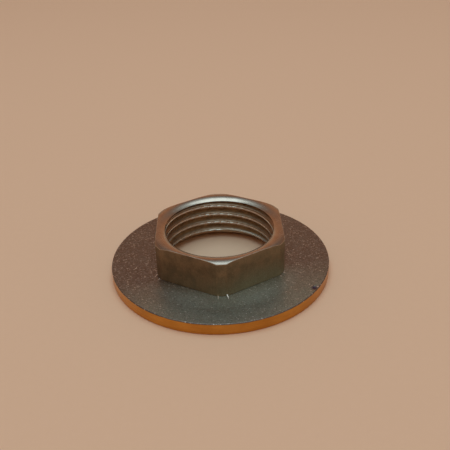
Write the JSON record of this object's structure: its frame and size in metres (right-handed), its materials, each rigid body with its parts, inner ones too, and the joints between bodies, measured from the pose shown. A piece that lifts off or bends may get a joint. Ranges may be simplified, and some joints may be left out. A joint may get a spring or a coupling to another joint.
{
  "type": "flanged hexagon nut",
  "caption": "Thin-walled threaded hexagon nut fixed through a wide round flange plate, tightened with a spanner so that the plate clamps a panel.",
  "frame": {"origin": "centre of the flange plate's underside, on the thread's axis", "axes": "+Z along the thread's axis, from the bearing face towards the hexagon; a pair of hexagon flats faces +X and -X, and a pair of corners points to +Y and -Y"},
  "size_m": [0.0442, 0.0442, 0.0098],
  "materials": {
    "turned_steel": "fine turned and milled, satin, with faint tool marks",
    "blasted_steel": "fine grainy matt faces, smooth turned rim"
  },
  "bodies": {
    "root": {"hex_nut": "turned_steel", "flange_plate": "blasted_steel"}
  },
  "joints": []
}
